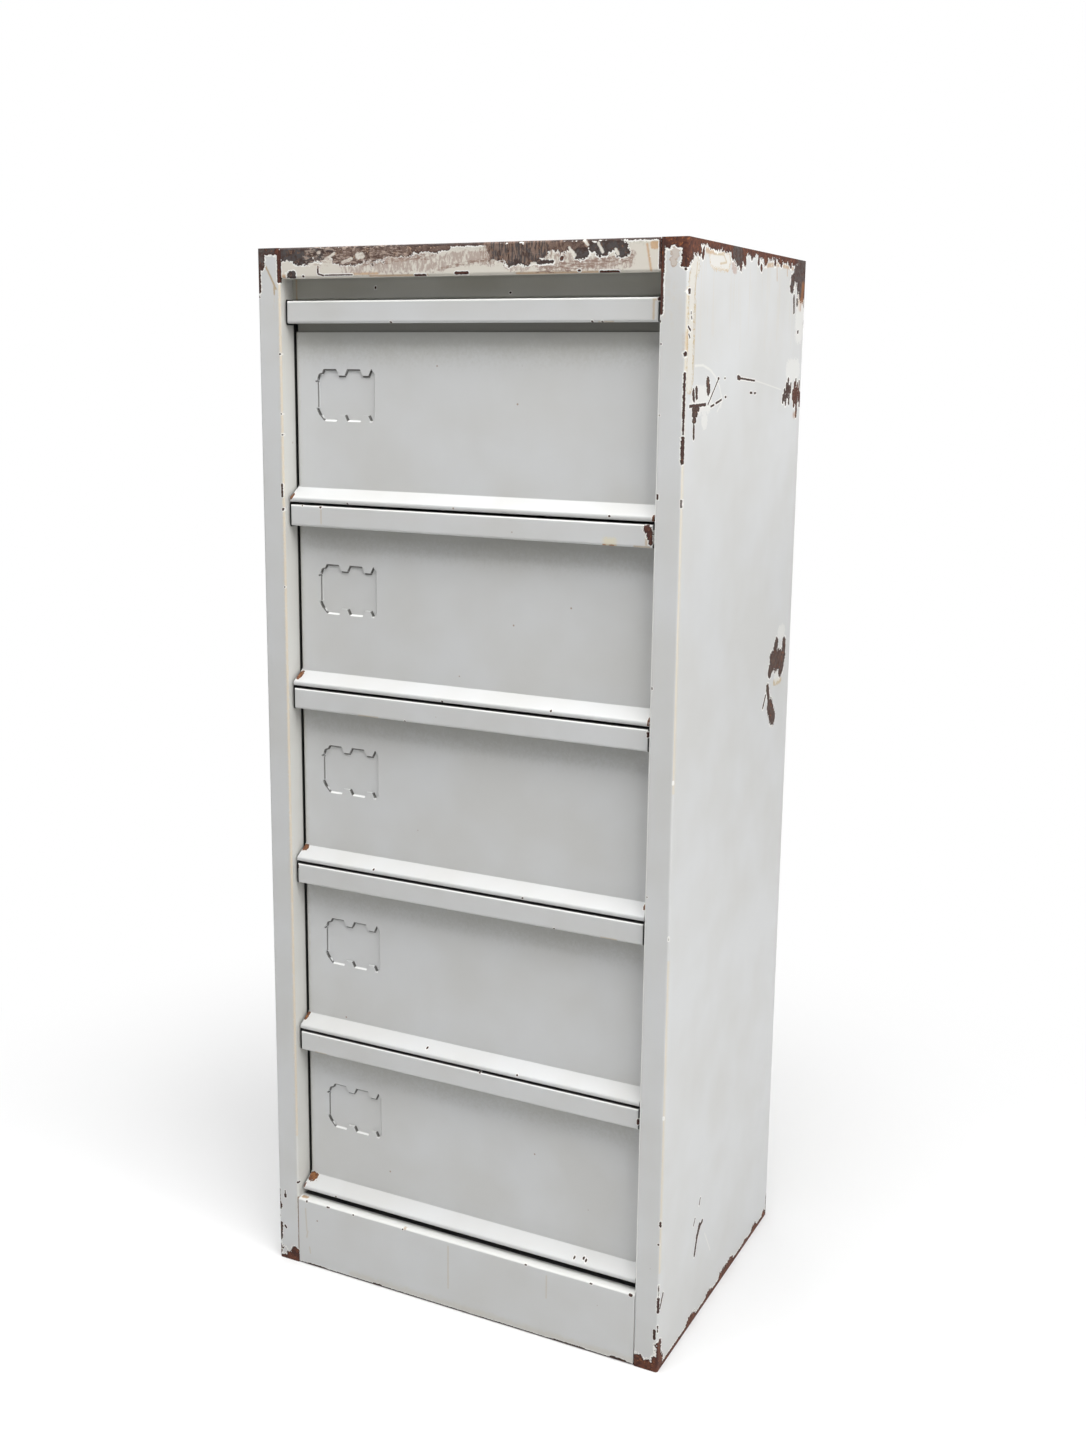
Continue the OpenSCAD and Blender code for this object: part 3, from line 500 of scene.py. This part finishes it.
# The dark rusty line along the floor is also a painted contact shadow.
flaked(plinth, [on_front(0, 0.2, 380, 3.4), on_front(-165, 0.6, 24, 4), on_front(-92, 0.6, 12, 4.4),
                on_front(120, 0.6, 36, 4), on_front(171, 1, 18, 5)],
       ("#4A3228", "#2B1A15", "#7A4A2E"), "fine", 0.3)
flaked(plinth, [on_front(-176, 70.4, 2.2, 2.2), on_front(-150, 70.6, 4, 1.4), on_front(-120, 70.4, 2, 1.6),
                on_front(-62, 70.4, 1.8, 1.6), on_front(74, 70.6, 2.6, 1.6), on_front(142, 70.6, 3, 1.4),
                on_front(182, 70.6, 4, 2.6)], BROWN_STEEL, "fine", 0.3, False)
dress("plinth", finish_coat(plinth))

# --- Back -----------------------------------------------------------------------------------
# The back is a flat sheet inside the rear flanges, spot-welded to them every 90 mm. It was sprayed
# thinly and is seldom seen, so it has damp stains and rust along its edges and round the welds.

back = start_coat("back_enamel", "#C6C7C4", "#BDBBB2")
BACK_Y = 156
WELD_X = 196
WELD_PITCH = 90
rng = random.Random(7)
for side in (-1, 1):
    flaked(back, [on_front(side * WELD_X, z, 5, 5, 0, BACK_Y) for z in range(60, 980, WELD_PITCH)],
           BROWN_STEEL, "fine", 1.2)
stained(back, [on_front(rng.uniform(-150, 150), rng.uniform(80, 900), rng.uniform(50, 120),
                        rng.uniform(40, 160), rng.uniform(-20, 20), BACK_Y) for _ in range(5)],
        "#CFC8B9", 0.55, 3.0, "ragged", "#BFAE90", 1.6)
streaked(back, [on_front(0, 900, 400, 240, 0, BACK_Y)], "#BFA785", 0.35, (6, 9, 120), 0.6, 20)
flaked(back, [on_front(0, 0, 420, 14, 0, BACK_Y), on_front(0, 1010, 420, 12, 0, BACK_Y),
              on_front(-168, 16, 60, 34, 0, BACK_Y), on_front(150, 10, 90, 26, 0, BACK_Y),
              on_front(178, 996, 44, 22, 0, BACK_Y), on_front(-120, 1002, 70, 14, 0, BACK_Y)],
       RED_RUST, "ragged", 1.4)
flaked(back, [on_front(rng.uniform(-180, 180), rng.uniform(40, 960), rng.uniform(4, 20), rng.uniform(2, 12),
                       rng.uniform(-60, 60), BACK_Y) for _ in range(12)], BROWN_STEEL, "ragged", 1.0)
dress("back_panel", finish_coat(back))

# --- Drawer fronts and pulls ----------------------------------------------------------------
# Each front is one sheet: a flat panel with a label holder pressed into it, folded out below into
# a sloping drip ledge. The pull is a folded channel across the top, closed at its ends and welded
# behind the panel. Hands have worn the pull ends to rust. The shade under the pulls, in the slits
# and in the pressing is painted on as dark stains, and highlights on the folds as pale ones.

PULL_Y = -151
LEDGE_Y = -144
LIP_Y = -148
PANEL_HEIGHT = 155
DRAWER_FEET = {1: 780.0, 2: 604.8, 3: 429.6, 4: 254.4, 5: 79.2}
# Middle of the label holder: 129 mm left of centre, and this far below the top of the pull.
LABEL_X = -129
LABEL_DROPS = {1: 84.1, 2: 79.5, 3: 79.5, 4: 79.5, 5: 79.5}
# Painted shade along the pressing's edges and beside its tabs, from its middle: both ends of each line, and
# its width.
LABEL_SHADE_LINES = [
    (-23, 22.9, -11, 22.9, 1.5), (2, 22.9, 15, 22.9, 1.5), (-8, 17, -1, 17, 1.5), (18, 17, 25, 17, 1.5),
    (-0.4, 18, 2.2, 23.4, 1.3), (25.2, 18, 27.8, 23.4, 1.3), (-11, 23, -8.4, 18, 0.7),
    (15, 23, 17.4, 18, 0.7), (-30.6, 14, -29, 18.6, 1.4), (-28.6, 18.8, -25.6, 19.6, 1.3),
    (-25.4, 19.6, -23.6, 23, 1.4),
    (-33, 12.4, -31, 12.6, 1.2), (-30.4, -11, -30.4, 12, 0.9), (-31.6, -12.6, -28.6, -17.8, 1.8),
    (-28.4, -18, -24, -22.8, 1.2), (-0.6, -18, 1.8, -22.8, 1.6), (24.8, -18, 27.4, -22.8, 1.6),
]
# Painted highlights on its lower lines: both ends of each, from its middle.
LABEL_HIGHLIGHTS = [(-23, -11), (2, 15), (25.6, 28)]
# Chips, specks and stains of each drawer: x, z, and for most a width and a height.
LEDGE_CHIPS = {
    1: [(-183, 785, 5, 6), (182.6, 783, 2, 6)],
    2: [(-181, 614, 6, 7), (182.6, 609, 2, 7)],
    3: [(-181, 441, 7, 5), (181, 440, 5, 4)],
    4: [(-182, 265, 4, 6)],
    5: [(-178.4, 90.6, 10, 7), (-182.6, 83.6, 1.4, 4)],
}
LEDGE_SPECKS = {
    1: [(142.5, 783), (-120, 781)],
    2: [(90, 609), (-20, 606)],
    3: [(64, 432), (-96, 434)],
    4: [(60, 258), (-40, 262)],
    5: [(-144.5, 81), (129, 87), (132, 86), (120, 86)],
}
PULL_CHIPS = {
    1: [(182.8, 961, 2, 3), (123.6, 943.2, 2.2, 1.6), (132.7, 943.2, 2, 1.4), (-72, 943.4, 2.6, 1.6)],
    2: [(177.6, 773.6, 8, 8), (179.8, 769, 6.6, 9), (180.8, 763.6, 3.6, 7), (-149.6, 776.4, 3, 2.4),
        (-170, 777, 1.4, 1.4)],
    3: [(182.6, 598, 2, 5), (-60, 583.2, 2, 1.4)],
    4: [(-182.4, 424, 2, 4), (96, 408.2, 2, 1.6)],
    5: [(182.4, 240, 2, 6), (20, 251.6, 2, 1.4)],
}
PULL_STAINS = {
    1: [(178.6, 953, 1.8, 17), (180, 960.6, 5, 1.8), (136, 943, 14, 1)],
    2: [(143.3, 758.6, 13, 1.6), (173, 758.8, 15, 1.6), (177, 766, 2, 12), (-149, 768, 0.8, 14)],
    3: [(-100, 583.2, 22, 1.2)],
    4: [(150, 408.2, 16, 1.4)],
    5: [(-160, 233, 14, 1.2)],
}

for number, pull_top in DRAWER_TOPS.items():
    foot = DRAWER_FEET[number]
    panel_top = foot + PANEL_HEIGHT
    label_z = pull_top - LABEL_DROPS[number]
    front = start_coat("drawer_front_enamel_%d" % number)
    # Painted shade, olive grey, across the top of the panel under the pull.
    stained(front, [on_front(0, panel_top + 4, 368, 44, 0, PANEL_Y)], "#A9A89C", 0.42, 16, "fine")
    # Painted shade down both side edges of the panel, beside the posts.
    stained(front, [on_front(-183, foot + 90, 5, 150, 0, PANEL_Y),
                    on_front(183, foot + 90, 3, 150, 0, PANEL_Y)], "#B4B0A3", 0.4, 2.0)
    # Painted shade along the label pressing's edges and beside its tabs.
    stained(front, [along_front(LABEL_X + x0, label_z + z0, LABEL_X + x1, label_z + z1, thick, PANEL_Y)
                    for x0, z0, x1, z1, thick in LABEL_SHADE_LINES], "#383630", 0.88, 0.35, None)
    # Painted highlights along the label pressing's lower edges.
    stained(front, [along_front(LABEL_X + x0, label_z - 23.2, LABEL_X + x1, label_z - 23.2, 1.3, PANEL_Y)
                    for x0, x1 in LABEL_HIGHLIGHTS], "#F1F1EF", 0.85, 0.35, None)
    ledge_chips = [((x, LEDGE_Y, z), (w / 2, 9, h / 2), (0, 0, 0)) for x, z, w, h in LEDGE_CHIPS[number]]
    stained(front, ledge_chips, "#C09868", 0.5, 1.0, "fine")
    flaked(front, ledge_chips, ("#8A5A34", "#5E3824", "#A86E3C"), "fine", 0.2, False)
    flaked(front, [((x, LIP_Y, z), (1.1, 6, 1.0), (0, 0, 0)) for x, z in LEDGE_SPECKS[number]],
           BROWN_STEEL, "fine", 0.2, False)
    dress("drawer_%d_front" % number, finish_coat(front))

    pull = start_coat("pull_enamel_%d" % number)
    # Painted shade on the pull's rear leg, seen under the channel above the panel.
    stained(pull, [((0, PANEL_Y + 2, panel_top + 2), (190, 5, 16), (0, 0, 0))], "#6C6A60", 0.85, 2.0,
            "fine")
    # A painted highlight along the pull's top fold.
    stained(pull, [((0, PULL_Y, pull_top), (190, 1.8, 1.3), (0, 0, 0))], "#EDEDEA", 0.9, 0.3, None)
    if number > 1:
        # Painted shade on top of the channel, in the slit under the next drawer's ledge.
        stained(pull, [((0, -142, pull_top), (190, 8, 1.2), (0, 0, 0))], SLIT_SHADE, 0.95, 0.4, None)
    # Painted shade at both ends of the channel, in the slits beside the posts.
    stained(pull, [((side * 184, PULL_Y, pull_top - 10), (1.5, 14, 12), (0, 0, 0)) for side in (-1, 1)],
            "#1D1C1A", 0.9, 0.25, None)
    stained(pull, [on_front(x, z, w, h, 0, PULL_Y) for x, z, w, h in PULL_STAINS[number]],
                "#B7965A", 0.5, 0.8, "fine")
    if number == 2:
        stained(pull, [on_front(143.4, 761.5, 13, 7, 0, PULL_Y)], "#DCD0A8", 0.5, 2.2, "fine")
        stained(pull, [on_front(138, 758.2, 3, 1.6, 0, PULL_Y), on_front(145, 758.2, 5, 1.8, 0, PULL_Y)],
                "#A2642B", 0.9, 0.6, "fine")
    flaked(pull, [on_front(x, z, w, h, 0, PULL_Y) for x, z, w, h in PULL_CHIPS[number]],
           ("#5E382C", "#3F211B", "#8A5230"), "fine", 0.4, False)
    dress("drawer_%d_pull" % number, finish_coat(pull))

# --- Trays and base inside ------------------------------------------------------------------
# Tray, liner and base had one thin coat of the same enamel. What was kept in them scratched the
# floors lengthwise, and a little rust shows along the folds.

inside = start_coat("inner_enamel", "#C8C9C6", "#BFBDB4")
for foot in DRAWER_FEET.values():
    streaked(inside, [((0, 0, foot + 6), (160, 130, 5), (0, 0, 0))], "#97928A", 0.5, (3, 70, 9), 0.56, 6)
stained(inside, [((side * 164, 0, foot + 7), (6, 140, 5), (0, 0, 0)) for foot in DRAWER_FEET.values()
                 for side in (-1, 1)], "#A98A63", 0.5, 2.0)
inner_enamel = finish_coat(inside)
for name in nodes:
    if name == "base_panel" or name.endswith(("_liner", "_tray", "_tray_back")):
        dress(name, inner_enamel)

# --- Uprights, runners and glides -----------------------------------------------------------
# Roll-formed from zinc-plated strip, spot-welded together and left unpainted. The zinc has dulled
# to a bluish grey with faint spangle, darker where the glides rub.

SPANGLE_WIDTH = 7
SPANGLE_RELIEF = 0.01

look = start_enamel("dull_zinc")
tree = look["tree"]
spangle = add(tree, "TexVoronoi", {"Vector": look["point"], "Scale": 1 / SPANGLE_WIDTH})
tone = add(tree, "SeparateColor", {"Color": spangle.outputs["Color"]}).outputs["Red"]
tone = add(tree, "MapRange", {"Value": tone, "To Min": 0.15, "To Max": 0.6}).outputs[0]
zinc = add(tree, "Mix", {0: tone, 6: linear("#AEB2B4"), 7: linear("#8F9496")}, data_type="RGBA").outputs[2]
dust = add(tree, "MapRange", {"Value": look["small"], "From Min": 0.5, "From Max": 0.7,
                              "To Max": 0.5}).outputs[0]
zinc = add(tree, "Mix", {0: dust, 6: zinc, 7: linear("#C3C2BC")}, data_type="RGBA").outputs[2]
dull = add(tree, "MapRange", {"Value": look["cloud"], "To Min": 0.38, "To Max": 0.52}).outputs[0]
bump = add(tree, "Bump", {"Height": tone, "Distance": MM * SPANGLE_RELIEF, "Strength": 1.0}).outputs[0]
metal = add(tree, "BsdfPrincipled", {"Base Color": zinc, "Roughness": dull, "Normal": bump,
                                     "Metallic": 1.0})
add(tree, "OutputMaterial", {"Surface": metal.outputs[0]})
for name in nodes:
    if name.startswith(("upright", "runner")) or "glide" in name:
        dress(name, look["material"])

# --- Studio ---------------------------------------------------------------------------------
# The cabinet stands on a pale seamless floor under one wide overhead diffuser, with two soft
# panels on its right and a weaker one behind it on the left.

CAMERA_AT = Vector((0.68087, -1.36961, 0.90497))
AZIMUTH, ELEVATION, ROLL = (math.radians(a) for a in (26.534, 11.310, 0.593))
IMAGE_W, IMAGE_H = 1086, 1448
FOCAL_PX = 1574.4
CENTRE_PX = (532.96, 682.82)
SENSOR = 36

ahead = Vector((-math.sin(AZIMUTH) * math.cos(ELEVATION), math.cos(AZIMUTH) * math.cos(ELEVATION),
                -math.sin(ELEVATION)))
across = ahead.cross(Vector((0, 0, 1))).normalized()
upward = across.cross(ahead)
camera = bpy.data.objects.new("camera", bpy.data.cameras.new("camera"))
bpy.context.scene.collection.objects.link(camera)
rolled_across = math.cos(ROLL) * across + math.sin(ROLL) * upward
rolled_upward = -math.sin(ROLL) * across + math.cos(ROLL) * upward
turn = Matrix((rolled_across, rolled_upward, -ahead)).transposed()
camera.matrix_world = Matrix.Translation(CAMERA_AT) @ turn.to_4x4()
camera.data.sensor_fit = "VERTICAL"
camera.data.sensor_height = SENSOR
camera.data.lens = SENSOR * FOCAL_PX / IMAGE_H
camera.data.shift_x = (IMAGE_W / 2 - CENTRE_PX[0]) / IMAGE_H
camera.data.shift_y = (CENTRE_PX[1] - IMAGE_H / 2) / IMAGE_H
bpy.context.scene.camera = camera

AIM = Vector((0, 0, 0.5))
WHITE = (1, 1, 1, 1)
ROOM_FILL = 0.04
FLOOR_WIDTH = 16
FLOOR_GREY = (0.7, 0.7, 0.7, 1)
FLOOR_LIFT = 0.13
SHADOW_REACH = (0.45, 0.95)

for name, place, size, power in (
    ("overhead_diffuser", (0, -0.5, 2.9), (2.0, 2.0), 100),
    ("right_panel", (2.4, -0.3, 1.3), (1.2, 2.0), 21),
    ("high_right_panel", (1.9, -1.2, 2.3), (1.6, 1.2), 34),
    ("rear_left_panel", (-1.6, 2.2, 1.3), (1.6, 2.0), 24),
):
    lamp = bpy.data.lights.new(name, "AREA")
    lamp.shape = "RECTANGLE"
    lamp.size, lamp.size_y = size
    lamp.energy = power
    panel = bpy.data.objects.new(name, lamp)
    panel.location = place
    panel.rotation_euler = (AIM - Vector(place)).to_track_quat("-Z", "Y").to_euler()
    bpy.context.scene.collection.objects.link(panel)

world = bpy.data.worlds.new("studio")
bpy.context.scene.world = world
world.use_nodes = True
tree = world.node_tree
tree.nodes.clear()
rays = add(tree, "LightPath", {})
seen = add(tree, "Math", {0: rays.outputs["Is Camera Ray"], 1: rays.outputs["Is Glossy Ray"]},
           operation="MAXIMUM")
seen = add(tree, "Math", {0: seen.outputs[0], 1: rays.outputs["Is Transmission Ray"]},
           operation="MAXIMUM")
fill = add(tree, "Background", {"Color": WHITE, "Strength": ROOM_FILL})
white = add(tree, "Background", {"Color": WHITE, "Strength": 1.0})
both = add(tree, "MixShader", {0: seen.outputs[0], 1: fill.outputs[0], 2: white.outputs[0]})
add(tree, "OutputWorld", {"Surface": both.outputs[0]})

# The floor shows the cabinet's shadow near it, and is plain white further out.
bpy.ops.mesh.primitive_plane_add(size=FLOOR_WIDTH, location=(0, 0, 0))
floor = bpy.context.object
floor.name = "floor"
pale = bpy.data.materials.new("seamless_floor")
pale.use_nodes = True
tree = pale.node_tree
tree.nodes.clear()
place = add(tree, "TexCoord", {})
away = add(tree, "VectorMath", {0: place.outputs["Object"]}, operation="LENGTH")
far = add(tree, "MapRange", {"Value": away.outputs["Value"], "From Min": SHADOW_REACH[0],
                             "From Max": SHADOW_REACH[1]}, interpolation_type="SMOOTHSTEP")
rays = add(tree, "LightPath", {})
matt = add(tree, "BsdfDiffuse", {"Color": FLOOR_GREY})
lift = add(tree, "Emission", {"Color": WHITE, "Strength": FLOOR_LIFT})
near = add(tree, "AddShader", {0: matt.outputs[0], 1: lift.outputs[0]})
glow = add(tree, "Emission", {"Color": WHITE, "Strength": 1.0})
seen = add(tree, "MixShader", {0: far.outputs[0], 1: near.outputs[0], 2: glow.outputs[0]})
either = add(tree, "MixShader", {0: rays.outputs["Is Camera Ray"], 1: matt.outputs[0], 2: seen.outputs[0]})
add(tree, "OutputMaterial", {"Surface": either.outputs[0]})
floor.data.materials.append(pale)

bpy.context.scene.view_settings.view_transform = "Standard"
